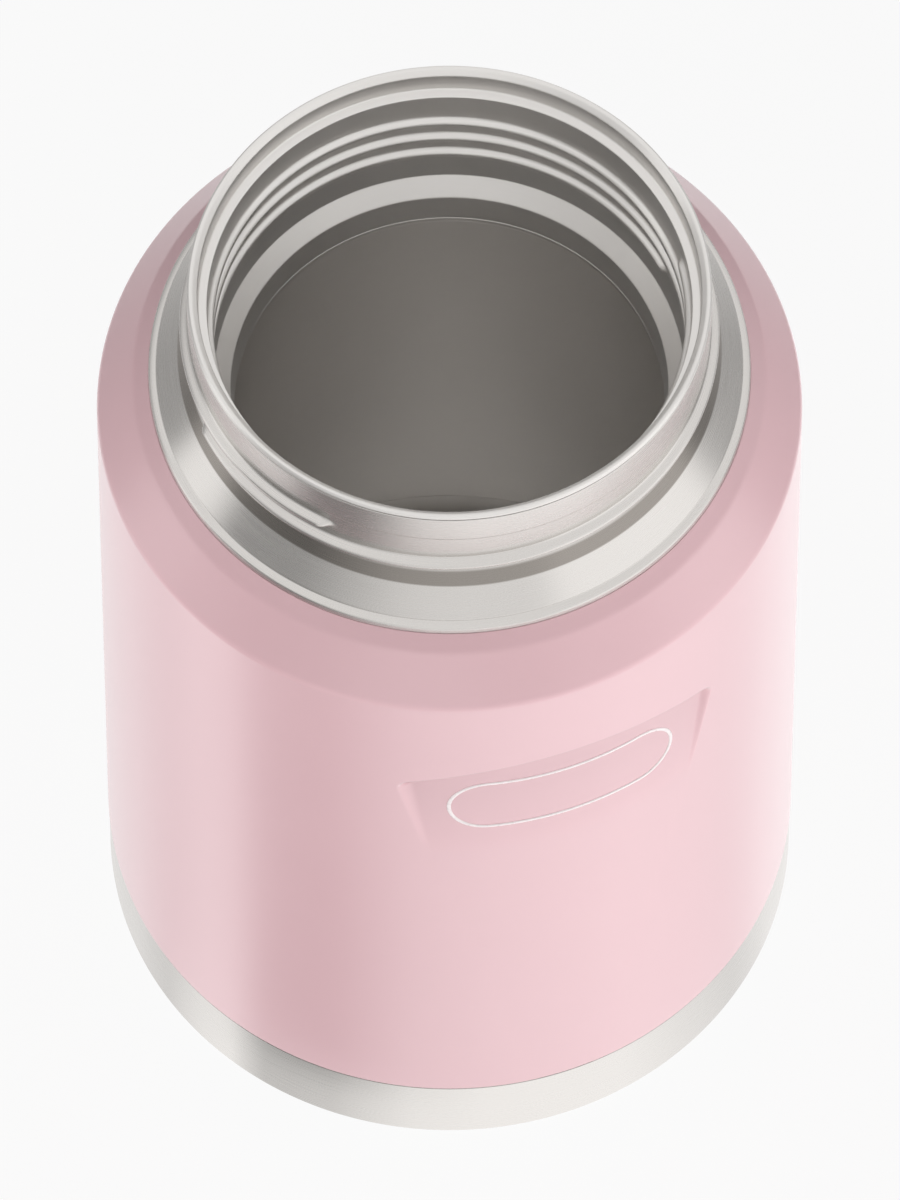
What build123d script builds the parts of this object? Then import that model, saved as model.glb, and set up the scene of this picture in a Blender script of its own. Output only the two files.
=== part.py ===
"""Wide-mouth vacuum food jar: painted body, bare steel neck with two screw threads, and the inner vessel.

Millimetres, +Z up, origin at the centre of the foot. Radii are counted inwards from the body's outside and
heights upwards from the foot, so every piece follows the sizes of the piece that it is welded to.
"""

from build123d import *
import math
import os

# Body
BODY_RADIUS = 50.0
BODY_HEIGHT = 126.6  # foot to the crease under the shoulder
BODY_WALL = 0.6
CREASE_ROUND = 1.2
OUTER_FACET_IN = 4.7  # shoulder, first facet
OUTER_FACET_UP = 5.4
INNER_FACET_IN = 3.1  # shoulder, second facet
INNER_FACET_UP = 3.5
FACET_ROUND = 4.0

# Badge recess, pressed into the body
BADGE_AZIMUTH = 20.5  # degrees from the front, towards +X
BADGE_DROP = 23.6  # from the crease down to the recess
BADGE_HEIGHT = 18.0
BADGE_TOP_WIDTH = 47.6
BADGE_BOTTOM_WIDTH = 39.8
BADGE_DEPTH = 1.2  # at its top edge, running out to nothing at the bottom
BADGE_CORNER = 2.0

# Foot and bottom
FOOT_BAND = 13.6
FOOT_INSET = 0.15
FOOT_ROUND = 2.2
FOOT_RING = 5.6  # width of the ring that the jar stands on
SEAM = 0.3
LAP = 4.7  # sleeve of the bottom inside the body
BASE_WALL = 0.6
RECESS_RISE = 4.0
RECESS_DRAFT = 1.2
RECESS_ROUND = 1.0
DIMPLE_RADIUS = 8.0
DIMPLE_SLOPE = 2.5
DIMPLE_RISE = 2.2
HOLE_RADIUS = 1.5
BEAD_OVERLAP = 1.6
BEAD_DROP = 0.9
DISC_WALL = 0.4
DISC_CLEARANCE = 0.5

# Collar and neck
NECK_WALL = 0.5
LIP_IN = 0.2
LIP_UP = 0.8
LIP_TOP_IN = 0.65
LIP_TOP_UP = 0.7
CONE_IN = 3.35
CONE_UP = 4.5
WAIST_IN = 0.8
WAIST_UP = 2.2
BLEND_IN = 0.4
BLEND_UP = 1.1
NECK_UP = 7.1  # thread wall, from the blend to the rim band
RIM_STEP = 0.1
RIM_STEP_UP = 0.3
RIM_BAND = 6.0

# Liner neck
LINER_WALL = 0.5
BEVEL = 1.5  # the flared rim, at 45 degrees
MOUTH_DOWN = 2.5
CHAMFER_IN = 1.3
CHAMFER_DOWN = 0.4
THREAD_WALL_DOWN = 16.6
LEDGE_IN = 0.8
LEDGE_DOWN = 1.1
SEAL_BORE_DOWN = 2.8
STEP_IN = 2.0
STEP_DOWN = 2.7
BORE_TAPER = 0.8
BORE_DOWN = 4.2

# Vessel
VACUUM_GAP = 3.1  # between the vessel and the body
BOTTOM_GAP = 6.9  # between the vessel and the base recess
TURN_DOWN = 1.2
TURN_ROUND = 1.8
SLOPE_DOWN = 12.8
SLOPE_ROUND = 10.0
VESSEL_FLOOR_RISE = 8.0  # height of the drawn bottom
VESSEL_FLOOR_ROUND = 7.0
SHIELD_WALL = 0.1
SHIELD_MARGIN = 8.0

# Getter, under the vessel
GETTER_OFFSET = 20.0
GETTER_RADIUS = 4.0
GETTER_THICKNESS = 2.5
CLIP_WALL = 0.4
CLIP_WIDTH = 5.0
CLIP_FOOT = 4.0
CLIP_CLEARANCE = 0.2

# Outer thread, right-hand
OUTER_PITCH = 4.0
OUTER_TURNS = 1.12
OUTER_TOP_BELOW_RIM = 8.7
OUTER_TOP_ANGLE = 244.0  # degrees anticlockwise from +X
OUTER_THREAD_RISE = 1.25
OUTER_ROOT_WIDTH = 2.6
OUTER_CREST_WIDTH = 1.0

# Inner thread, right-hand
INNER_PITCH = 4.15
INNER_TURNS = 2.98
INNER_TOP_BELOW_RIM = 7.4
INNER_TOP_ANGLE = 17.0
INNER_THREAD_RISE = 0.9
INNER_ROOT_WIDTH = 2.2
INNER_CREST_WIDTH = 0.6

THREAD_SINK = 0.3  # how far a thread's root lies inside its wall
FUSE_TOLERANCE = 0.001

# Radii, from the outside in
BODY_INSIDE = BODY_RADIUS - BODY_WALL
FACET_RADIUS = BODY_RADIUS - OUTER_FACET_IN
LIP_RADIUS = FACET_RADIUS - INNER_FACET_IN
LIP_TOP_RADIUS = LIP_RADIUS - LIP_IN - LIP_TOP_IN
CONE_TOP_RADIUS = LIP_TOP_RADIUS - CONE_IN
WAIST_RADIUS = CONE_TOP_RADIUS - WAIST_IN
NECK_RADIUS = WAIST_RADIUS - BLEND_IN
RIM_RADIUS = NECK_RADIUS + RIM_STEP
MOUTH_RADIUS = RIM_RADIUS - BEVEL
THREAD_WALL_RADIUS = MOUTH_RADIUS - CHAMFER_IN
SEAL_BORE_RADIUS = THREAD_WALL_RADIUS - LEDGE_IN
BORE_TOP_RADIUS = SEAL_BORE_RADIUS - STEP_IN
BORE_RADIUS = BORE_TOP_RADIUS - BORE_TAPER
VESSEL_OUTSIDE = BODY_INSIDE - VACUUM_GAP
VESSEL_RADIUS = VESSEL_OUTSIDE - LINER_WALL
FOOT_RADIUS = BODY_RADIUS - FOOT_INSET
RECESS_RADIUS = FOOT_RADIUS - FOOT_RING - RECESS_DRAFT

# Heights, from the foot up
FACET_Z = BODY_HEIGHT + OUTER_FACET_UP
LIP_Z = FACET_Z + INNER_FACET_UP
LIP_TOP_Z = LIP_Z + LIP_UP + LIP_TOP_UP
CONE_TOP_Z = LIP_TOP_Z + CONE_UP
WAIST_Z = CONE_TOP_Z + WAIST_UP
BLEND_Z = WAIST_Z + BLEND_UP
BAND_Z = BLEND_Z + NECK_UP + RIM_STEP_UP
RIM_Z = BAND_Z + RIM_BAND
MOUTH_Z = RIM_Z - BEVEL
CHAMFER_Z = MOUTH_Z - MOUTH_DOWN
THREAD_WALL_Z = CHAMFER_Z - CHAMFER_DOWN
LEDGE_Z = THREAD_WALL_Z - THREAD_WALL_DOWN
SEAL_BORE_Z = LEDGE_Z - LEDGE_DOWN
STEP_Z = SEAL_BORE_Z - SEAL_BORE_DOWN
BORE_TOP_Z = STEP_Z - STEP_DOWN
BORE_Z = BORE_TOP_Z - BORE_DOWN
TURN_Z = BORE_Z - TURN_DOWN
SLOPE_Z = TURN_Z - SLOPE_DOWN
VESSEL_UNDERSIDE = RECESS_RISE + BASE_WALL + BOTTOM_GAP
VESSEL_FLOOR = VESSEL_UNDERSIDE + LINER_WALL
VESSEL_WELD = VESSEL_FLOOR + VESSEL_FLOOR_RISE
SHIELD_BOTTOM = VESSEL_WELD + SHIELD_MARGIN
SHIELD_TOP = SLOPE_Z - SHIELD_MARGIN
BADGE_TOP = BODY_HEIGHT - BADGE_DROP


def left_of(start, end, amount):
    """The step of this length to the left of the way from start to end."""
    across, up = end[0] - start[0], end[1] - start[1]
    length = math.hypot(across, up)
    return (-up / length * amount, across / length * amount)


def moved(point, step):
    return (point[0] + step[0], point[1] + step[1])


def mitre(before, corner, after, wall):
    """The step from a corner of the skin to the same corner of the sheet's other side."""
    first = left_of(before, corner, 1.0)
    second = left_of(corner, after, 1.0)
    share = wall / (1.0 + first[0] * second[0] + first[1] * second[1])
    return ((first[0] + second[0]) * share, (first[1] + second[1]) * share)


def turns_left(before, corner, after):
    ahead = (after[0] - corner[0], after[1] - corner[1])
    side = left_of(before, corner, 1.0)
    return ahead[0] * side[0] + ahead[1] * side[1] > 0


def sheet(skin, wall, radii=None, first=None, last=None):
    """Sheet metal turned about the jar's axis.

    skin is one side of the sheet as (radius, height) points, with the metal on its left. radii rounds the
    skin's corners, and the far side's arcs share their centres. first and last are the steps across the
    sheet at its two ends, square to the skin unless given.
    """
    corners = list(zip(skin, skin[1:], skin[2:]))
    radii = radii or [0.0] * len(corners)
    first = first or left_of(skin[0], skin[1], wall)
    last = last or left_of(skin[-2], skin[-1], wall)
    steps = [first] + [mitre(*corner, wall) for corner in corners] + [last]
    far_side = [moved(point, step) for point, step in zip(skin, steps)]
    far_radii = []
    for corner, radius in zip(corners, radii):
        shift = -wall if turns_left(*corner) else wall
        far_radii.append(max(radius + shift, 0.0) if radius else 0.0)
    near = FilletPolyline(*[(r, 0, z) for r, z in skin], radius=radii)
    far = FilletPolyline(*[(r, 0, z) for r, z in far_side], radius=far_radii)
    outline = near.edges() + far.edges() + [Line(near @ 0, far @ 0).edge(), Line(near @ 1, far @ 1).edge()]
    return revolve(make_face(outline), Axis.Z)


def fused(wall, ridge):
    """A union with a small tolerance, which a helix through a turned wall needs."""
    return wall.solid().fuse(ridge.solid(), tol=FUSE_TOLERANCE)


def thread(wall_radius, rise, root_width, crest_width, pitch, turns, top_z, top_angle):
    """A right-hand thread ridge with square ends. A negative rise points it inwards."""
    sink = -math.copysign(THREAD_SINK, rise)
    height = pitch * turns
    path = Helix(pitch, height, wall_radius, center=(0, 0, top_z - height))
    upper = [(rise, crest_width / 2), (0, root_width / 2), (sink, root_width / 2)]
    lower = [(x, -y) for x, y in reversed(upper)]
    anticlockwise = upper + lower if rise > 0 else lower[::-1] + upper[::-1]
    start = Plane(path @ 0, x_dir=(1, 0, 0), z_dir=path % 0)
    ridge = sweep(start * Polygon(*anticlockwise, align=None), path=path, is_frenet=True)
    return Rot(Z=top_angle - 360 * turns) * ridge


def badge_block(grow, inner_top, inner_bottom, outer):
    """The badge recess's outline, grown by this much, between two surfaces of the body."""
    bottom = BADGE_TOP - BADGE_HEIGHT
    ring = make_face(
        Polyline(
            (inner_top, 0, BADGE_TOP + grow), (outer, 0, BADGE_TOP + grow),
            (outer, 0, bottom), (inner_bottom, 0, bottom), close=True,
        )
    )
    angle = math.radians(BADGE_AZIMUTH)
    facing = Plane(
        origin=(0, 0, 0),
        x_dir=(math.cos(angle), math.sin(angle), 0),
        z_dir=(math.sin(angle), -math.cos(angle), 0),
    )
    top_half = BADGE_TOP_WIDTH / 2 + grow
    bottom_half = BADGE_BOTTOM_WIDTH / 2 + grow
    shape = Polygon(
        (-top_half, BADGE_TOP + grow), (top_half, BADGE_TOP + grow),
        (bottom_half, bottom - grow), (-bottom_half, bottom - grow), align=None,
    )
    shape = fillet(shape.vertices(), BADGE_CORNER)
    return revolve(ring, Axis.Z) & extrude(facing * shape, 2 * BODY_RADIUS, dir=facing.z_dir)


def body_shell():
    skin = [
        (BODY_RADIUS, FOOT_BAND + SEAM),
        (BODY_RADIUS, BODY_HEIGHT),
        (FACET_RADIUS, FACET_Z),
        (LIP_RADIUS, LIP_Z),
    ]
    tube = sheet(skin, BODY_WALL, [CREASE_ROUND, FACET_ROUND])
    backing = badge_block(BODY_WALL, BODY_INSIDE - BADGE_DEPTH, BODY_INSIDE, BODY_INSIDE + BODY_WALL / 2)
    pocket = badge_block(0, BODY_RADIUS - BADGE_DEPTH, BODY_RADIUS, BODY_RADIUS + BADGE_DEPTH)
    return tube + backing - pocket


def neck_collar():
    lip = (LIP_RADIUS, LIP_Z)
    skin = [
        lip,
        (LIP_RADIUS - LIP_IN, LIP_Z + LIP_UP),
        (LIP_TOP_RADIUS, LIP_TOP_Z),
        (CONE_TOP_RADIUS, CONE_TOP_Z),
        (WAIST_RADIUS, WAIST_Z),
        (NECK_RADIUS, BLEND_Z),
        (NECK_RADIUS, BLEND_Z + NECK_UP),
        (RIM_RADIUS, BAND_Z),
        (RIM_RADIUS, RIM_Z - LINER_WALL * math.sqrt(2)),
    ]
    weld = left_of((FACET_RADIUS, FACET_Z), lip, NECK_WALL)
    under_the_flare = (-NECK_WALL, -NECK_WALL)
    ring = sheet(skin, NECK_WALL, first=weld, last=under_the_flare)
    ridge = thread(
        NECK_RADIUS, OUTER_THREAD_RISE, OUTER_ROOT_WIDTH, OUTER_CREST_WIDTH,
        OUTER_PITCH, OUTER_TURNS, RIM_Z - OUTER_TOP_BELOW_RIM, OUTER_TOP_ANGLE,
    )
    return fused(ring, ridge)


def liner_neck():
    skin = [
        (RIM_RADIUS, RIM_Z),
        (MOUTH_RADIUS, MOUTH_Z),
        (MOUTH_RADIUS, CHAMFER_Z),
        (THREAD_WALL_RADIUS, THREAD_WALL_Z),
        (THREAD_WALL_RADIUS, LEDGE_Z),
        (SEAL_BORE_RADIUS, SEAL_BORE_Z),
        (SEAL_BORE_RADIUS, STEP_Z),
        (BORE_TOP_RADIUS, BORE_TOP_Z),
        (BORE_RADIUS, BORE_Z),
    ]
    flush_with_neck = (0, -LINER_WALL * math.sqrt(2))
    ring = sheet(skin, LINER_WALL, first=flush_with_neck, last=(LINER_WALL, 0))
    ridge = thread(
        THREAD_WALL_RADIUS, -INNER_THREAD_RISE, INNER_ROOT_WIDTH, INNER_CREST_WIDTH,
        INNER_PITCH, INNER_TURNS, RIM_Z - INNER_TOP_BELOW_RIM, INNER_TOP_ANGLE,
    )
    return fused(ring, ridge)


def liner_body():
    skin = [
        (BORE_RADIUS, BORE_Z),
        (BORE_RADIUS, TURN_Z),
        (VESSEL_RADIUS, SLOPE_Z),
        (VESSEL_RADIUS, VESSEL_WELD),
    ]
    return sheet(skin, LINER_WALL, [TURN_ROUND, SLOPE_ROUND])


def liner_bottom():
    skin = [(VESSEL_RADIUS, VESSEL_WELD), (VESSEL_RADIUS, VESSEL_FLOOR), (0, VESSEL_FLOOR)]
    return sheet(skin, LINER_WALL, [VESSEL_FLOOR_ROUND])


def base_cup():
    dimple_z = RECESS_RISE + DIMPLE_RISE
    skin = [
        (HOLE_RADIUS, dimple_z),
        (DIMPLE_RADIUS - DIMPLE_SLOPE, dimple_z),
        (DIMPLE_RADIUS, RECESS_RISE),
        (RECESS_RADIUS, RECESS_RISE),
        (RECESS_RADIUS + RECESS_DRAFT, 0),
        (FOOT_RADIUS, 0),
        (FOOT_RADIUS, FOOT_BAND),
        (BODY_INSIDE, FOOT_BAND + SEAM),
        (BODY_INSIDE, FOOT_BAND + SEAM + LAP),
    ]
    return sheet(skin, BASE_WALL, [0, 0, RECESS_ROUND, RECESS_ROUND, FOOT_ROUND, 0, 0])


def base_disc():
    radius = RECESS_RADIUS - DISC_CLEARANCE - RECESS_ROUND
    return Pos(0, 0, RECESS_RISE - DISC_WALL / 2) * Cylinder(radius, DISC_WALL)


def seal_bead():
    """Glass in the evacuation hole, spread under the dimple like a lens."""
    dimple_z = RECESS_RISE + DIMPLE_RISE
    spread = HOLE_RADIUS + BEAD_OVERLAP
    lens = [
        Line((0, 0, dimple_z - BEAD_DROP), (0, 0, dimple_z + BASE_WALL)),
        Line((0, 0, dimple_z + BASE_WALL), (HOLE_RADIUS, 0, dimple_z + BASE_WALL)),
        Line((HOLE_RADIUS, 0, dimple_z + BASE_WALL), (HOLE_RADIUS, 0, dimple_z)),
        Line((HOLE_RADIUS, 0, dimple_z), (spread, 0, dimple_z)),
        TangentArc((0, 0, dimple_z - BEAD_DROP), (spread, 0, dimple_z), tangent=(1, 0, 0)),
    ]
    return revolve(make_face([line.edge() for line in lens]), Axis.Z)


def copper_shield():
    height = SHIELD_TOP - SHIELD_BOTTOM
    middle = Pos(0, 0, SHIELD_BOTTOM + height / 2)
    return middle * (Cylinder(VESSEL_OUTSIDE + SHIELD_WALL, height) - Cylinder(VESSEL_OUTSIDE, height))


def getter_pellet():
    pellet = Cylinder(GETTER_RADIUS, GETTER_THICKNESS)
    return Pos(GETTER_OFFSET, 0, VESSEL_UNDERSIDE - GETTER_THICKNESS / 2) * pellet


def getter_holder():
    """A strap under the pellet, with a foot on each side spot-welded to the vessel."""
    inside = GETTER_RADIUS + CLIP_CLEARANCE
    outside = inside + CLIP_WALL
    foot_end = outside + CLIP_FOOT
    top = VESSEL_UNDERSIDE
    strap_top = top - GETTER_THICKNESS
    strap = Polygon(
        (-foot_end, top), (-inside, top), (-inside, strap_top), (inside, strap_top), (inside, top),
        (foot_end, top), (foot_end, top - CLIP_WALL), (outside, top - CLIP_WALL),
        (outside, strap_top - CLIP_WALL), (-outside, strap_top - CLIP_WALL),
        (-outside, top - CLIP_WALL), (-foot_end, top - CLIP_WALL), align=None,
    )
    across = Plane(origin=(GETTER_OFFSET, 0, 0), x_dir=(0, 1, 0), z_dir=(1, 0, 0))
    return extrude(across * strap, CLIP_WIDTH / 2, both=True)


PIECES = [
    body_shell, neck_collar, base_cup, base_disc, seal_bead, liner_neck, liner_body, liner_bottom,
    copper_shield, getter_pellet, getter_holder,
]

os.makedirs("parts", exist_ok=True)
for piece in PIECES:
    export_step(piece(), f"parts/{piece.__name__}.step")
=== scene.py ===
"""Studio scene of a wide-mouth vacuum food jar, laid out as an add-on.

The sidebar's Food Jar panel lists one operator for each piece, or group of like pieces, and one for the
stage. Sizes are metres. The jar stands on its foot at the origin, +Z is up and -Y is its front. Every ring
of sheet metal is an outline in (radius, height) carried round the jar's axis.
"""

import math

import bpy
import numpy as np
from bpy.props import FloatProperty, FloatVectorProperty, IntProperty, PointerProperty
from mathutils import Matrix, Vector


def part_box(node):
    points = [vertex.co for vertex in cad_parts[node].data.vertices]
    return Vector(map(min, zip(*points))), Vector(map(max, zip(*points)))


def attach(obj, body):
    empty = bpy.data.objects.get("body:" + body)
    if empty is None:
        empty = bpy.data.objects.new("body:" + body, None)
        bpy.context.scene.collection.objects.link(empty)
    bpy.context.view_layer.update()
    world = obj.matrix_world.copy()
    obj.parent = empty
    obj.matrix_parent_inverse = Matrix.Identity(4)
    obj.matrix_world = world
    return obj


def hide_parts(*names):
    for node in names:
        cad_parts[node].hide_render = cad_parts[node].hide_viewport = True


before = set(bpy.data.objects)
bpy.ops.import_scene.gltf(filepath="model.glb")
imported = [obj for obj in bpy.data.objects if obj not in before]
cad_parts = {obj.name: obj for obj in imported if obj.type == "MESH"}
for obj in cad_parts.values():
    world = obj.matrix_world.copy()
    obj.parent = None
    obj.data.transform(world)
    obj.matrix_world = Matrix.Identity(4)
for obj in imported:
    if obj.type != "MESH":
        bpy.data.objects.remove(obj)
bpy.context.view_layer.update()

bl_info = {
    "name": "Food jar studio",
    "version": (1, 0, 0),
    "blender": (4, 5, 0),
    "location": "View3D > Sidebar > Food Jar",
    "description": "A double-walled steel food jar, piece by piece, on a plain white stage",
    "category": "Add Mesh",
}

MM = 0.001
BODY_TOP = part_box("body_shell")[1]
RIM_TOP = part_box("liner_neck")[1]
MOUTH_DEPTH = 31.8 * MM  # from the rim down to the weld between mouth and vessel

ARC_STEP = math.radians(10)  # most that an arc turns from one point to the next
MOST_OF_LEG = 0.49  # share of a straight leg that the arc at one end may take
SOFT_EDGE = 0.12 * MM  # rounding of a sheet's cut edges
MOST_OF_WALL = 0.3  # share of a sheet's wall that such a rounding may take
LONG_RUN = 0.8 * MM  # a straight run longer than this has a point near each end,
END_GAP = 0.15 * MM  # this far from it
FAR_SPACING = 4 * MM  # between the points of a sheet's far side
UNDIVIDED = 1.0  # a spacing that leaves a run in one piece
SKIN_GAP = 1e-6  # puts a thread of no height just behind its wall
VESSEL_SIDES, FOOT_SIDES = 256, 288  # points round each ring of the vessel and the disc, and of the foot

RUN_OUT = 0.9  # length of a thread's tapered end, in widths of its root
GROOVE_UP = 1.5 * MM  # from the paint's edge to the middle of the groove above it
GROOVE_REACH = 0.2 * MM  # from that middle to where the groove has 1/e of its depth
RECESS_SLOPES = {"top": 3.0, "left": 0.72, "right": 1.6}  # of the badge recess's walls
RECESS_FLOOR_ROUND = 0.35 * MM  # rounding where those walls meet the floor
RECESS_EDGE_ROUND = 0.12 * MM  # and where the recess runs out into the body
FINE_TURN, COARSE_TURN = 0.3, 2.0  # degrees between the body's points, at the badge and elsewhere
RING_STEPS, RING_SIDES = 480, 14  # points along the enamel ring and round its section
RING_PROUD = 0.16 * MM  # how far the ring stands off its floor
UNBRUSHED = (0.48, 0.46, 0.44)  # shares of the deep tone kept in a band painted dark as shade

WHITE = (1.0, 1.0, 1.0, 1.0)
CAMERA_ASIDE = 0.07 * MM
LAMPS_AIM = Vector((0.0, 0.0, 0.1))
FLOOR_DOWN = 0.1 * MM
FLOOR_RINGS = 0.05, 0.15, 0.5, 1.5, 4.0
FLOOR_SIDES = 96
PANELS_FADE = 0.25, 0.55  # sines of the elevations between which the sky's panels turn white
HORIZON_FADE = 0.0, 0.45  # sines of the elevations between which the low light turns ambient
NEAR_FADE = 0.2, 0.4  # distances from the axis between which the floor's wide panels take over
GLOW_FADE = 0.055, 0.061  # distances from the axis between which the glow before the foot ends
GLOW = 0.7  # share of the brightest level in that glow
BRIGHTEST = 1.3  # of the panels that reflections show
SKY_PANELS = [  # (azimuth in degrees, brightness) above the floor
    (-180, 0.9), (-150, 0.55), (-100, 0.5), (-94, 1.27), (-78, 1.27), (-71, 0.33), (-45, 0.33), (-15, 0.85),
    (0, 0.95), (28, 0.95), (36, 1.27), (84, 1.27), (94, 0.9), (180, 0.9),
]
NEAR_PANELS = [  # on the floor round the jar
    (-180, 1.0), (-135, 1.0), (-112, 0.8), (-92, 1.12), (-80, 1.18), (-66, 0.35), (-56, 0.25), (-40, 0.25),
    (-12, 1.05), (12, 1.28), (35, 1.3), (60, 1.3), (85, 1.08), (112, 0.92), (140, 1.15), (180, 1.1),
]
WIDE_PANELS = [  # on the floor further out
    (-180, 0.8), (-150, 0.4), (-100, 0.4), (-94, 1.15), (-82, 1.15), (-74, 0.4), (-45, 0.3), (-15, 0.95),
    (0, 1.05), (28, 1.1), (36, 1.25), (84, 1.25), (94, 0.4), (150, 0.4), (180, 0.8),
]


def length(name, description, default):
    return FloatProperty(name=name, description=description, default=default, unit="LENGTH", precision=5)


def bearing(name, description, degrees):
    return FloatProperty(name=name, description=description, default=math.radians(degrees), unit="ROTATION")


def number(name, description, default):
    return FloatProperty(name=name, description=description, default=default)


def tint(name, description, default):
    return FloatVectorProperty(
        name=name, description=description, default=default, subtype="COLOR", size=3, min=0.0, max=1.0
    )


# ---------------------------------------------------------------- settings


class BodySizes(bpy.types.PropertyGroup):
    radius: length("Radius", "Outside of the painted wall", BODY_TOP[0])
    wall: length("Wall", "Thickness of the painted sheet", 0.0006)
    bottom: length("Bottom", "Height of the painted wall's lower edge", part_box("body_shell")[0][2])
    crease: length("Crease", "Height where the shoulder starts", 0.1266)
    facet_radius: length("Facet radius", "Radius where the shoulder flattens", 0.0448)
    facet_height: length("Facet height", "Height where the shoulder flattens", 0.1336)
    lip_radius: length("Lip radius", "Radius where the paint meets the steel", 0.0426)
    lip_height: length("Lip height", "Height where the paint meets the steel", BODY_TOP[2])


class BadgeSizes(bpy.types.PropertyGroup):
    azimuth: bearing("Azimuth", "Turn from the front towards +X", 19.7)
    top: length("Top", "Height of the middle of the recess's upper edge", 0.1095)
    arch: number("Arch", "Fall of the upper edge for each metre that the wall curves back", 0.82)
    height: length("Height", "From the upper edge's middle to where the recess runs out", 0.024)
    top_width: length("Top width", "Width between the upper corners", 0.0477)
    bottom_width: length("Bottom width", "Width along the lower edge", 0.0395)
    depth: length("Depth", "Depth at the upper edge", 0.0012)
    corner: length("Corner", "Rounding of the upper corners", 0.002)
    ring_width: length("Ring width", "Outside width of the enamel ring", 0.0345)
    ring_height: length("Ring height", "Outside height of the enamel ring", 0.0118)
    ring_middle: length("Ring middle", "Height of the ring's middle", 0.0975)
    ring_line: length("Ring line", "Width of the enamel line", 0.0006)


class NeckSizes(bpy.types.PropertyGroup):
    wall: length("Wall", "Thickness of the neck's sheet", 0.0005)
    radius: length("Radius", "Wall that carries the outer thread", 0.0368)
    band_radius: length("Band radius", "Plain band under the rim", RIM_TOP[0])
    band_height: length("Band height", "Lower edge of the plain band", 0.1522)
    groove: length("Groove", "Depth of the fine groove above the lip", 0.00034)
    pitch: length("Pitch", "Rise of the outer thread in one turn", 0.004)
    turns: number("Turns", "Turns of the outer thread", 1.12)
    thread_top: length("Thread top", "Height of the thread's upper end", 0.1495)
    thread_angle: bearing("Thread angle", "Turn from +X to the thread's upper end", 244.0)
    rise: length("Rise", "How far the thread stands out", 0.00125)
    root: length("Root", "Width of the thread at its root", 0.0026)
    crest: length("Crest", "Width of the thread's crest", 0.0003)


class MouthSizes(bpy.types.PropertyGroup):
    wall: length("Wall", "Thickness of the liner's sheet", 0.0005)
    bevel: length("Bevel", "Height of the flared rim", 0.0015)
    radius: length("Radius", "Plain band inside the rim", 0.0354)
    thread_radius: length("Thread wall", "Wall that carries the inner thread", 0.0341)
    seal_radius: length("Seal bore", "Plain bore under the thread", 0.0333)
    bore: length("Bore", "Narrowest radius of the mouth", 0.0305)
    pitch: length("Pitch", "Rise of the inner thread in one turn", 0.00415)
    turns: number("Turns", "Turns of the inner thread", 2.98)
    thread_top: length("Thread top", "Height of the thread's upper end", 0.1508)
    thread_angle: bearing("Thread angle", "Turn from +X to the thread's upper end", 17.0)
    rise: length("Rise", "How far the thread stands in", 0.0009)
    root: length("Root", "Width of the thread at its root", 0.0022)
    crest: length("Crest", "Width of the thread's crest", 0.0006)


class VesselSizes(bpy.types.PropertyGroup):
    wall: length("Wall", "Thickness of the vessel's sheet", 0.0005)
    radius: length("Radius", "Inside of the vessel", 0.0458)
    weld: length("Weld", "Height of the bottom's weld", 0.02)
    floor: length("Floor", "Height of the vessel's floor", 0.012)
    floor_round: length("Floor rounding", "Radius between wall and floor", 0.007)


class FootSizes(bpy.types.PropertyGroup):
    wall: length("Wall", "Thickness of the bottom's sheet", 0.0006)
    radius: length("Radius", "Outside of the steel band", 0.04985)
    band: length("Band", "Height of the bare steel band", 0.0136)
    rounding: length("Rounding", "Rounding under the band", 0.0011)
    recess: length("Recess", "Radius of the recess under the jar", 0.04305)
    rise: length("Rise", "Depth of the recess under the jar", 0.004)


class JarColours(bpy.types.PropertyGroup):
    paint: tint("Paint", "Pink of the powder coat", (0.80, 0.52, 0.555))
    paint_deep: tint("Deep paint", "Pink in the powder coat's low spots", (0.77, 0.49, 0.525))
    steel: tint("Steel", "Bare stainless steel", (0.70, 0.675, 0.65))
    steel_deep: tint("Deep steel", "Steel in the brushed lines", (0.63, 0.605, 0.58))
    inner: tint("Inner steel", "Stainless steel inside the jar, which is less brushed", (0.84, 0.817, 0.79))
    inner_deep: tint("Deep inner steel", "Inner steel in the brushed lines", (0.78, 0.757, 0.732))
    enamel: tint("Enamel", "Pale ring in the badge recess", (0.93, 0.86, 0.86))
    copper: tint("Copper", "Foil round the vessel", (0.78, 0.42, 0.28))
    getter: tint("Getter", "Sintered getter pellet", (0.25, 0.25, 0.26))
    glass: tint("Glass", "Solder glass bead", (0.10, 0.12, 0.14))


class StudioSettings(bpy.types.PropertyGroup):
    pitch: bearing("Camera pitch", "How far the camera looks down", 60.51)
    distance: length("Camera distance", "From the camera to what it looks at", 2.98)
    aim: length("Camera aim", "Height that the camera looks at", 0.06975)
    lens: FloatProperty(name="Lens", description="Focal length", default=620.4, unit="CAMERA")
    ambient: number("Ambient", "World light from overhead", 0.17)
    horizon: number("Horizon", "World light from low down", 1.0)
    front: number("Front lamp", "Brightness of the front softbox", 3.3)
    right: number("Right lamp", "Brightness of the right softbox", 9.9)
    left: number("Left lamp", "Brightness of the left softbox", 5.3)
    floor: number("Floor", "How pale the floor is", 0.95)
    paper: number("Shadow", "Share of the floor that shows the lamps' shadows", 0.08)


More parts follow.
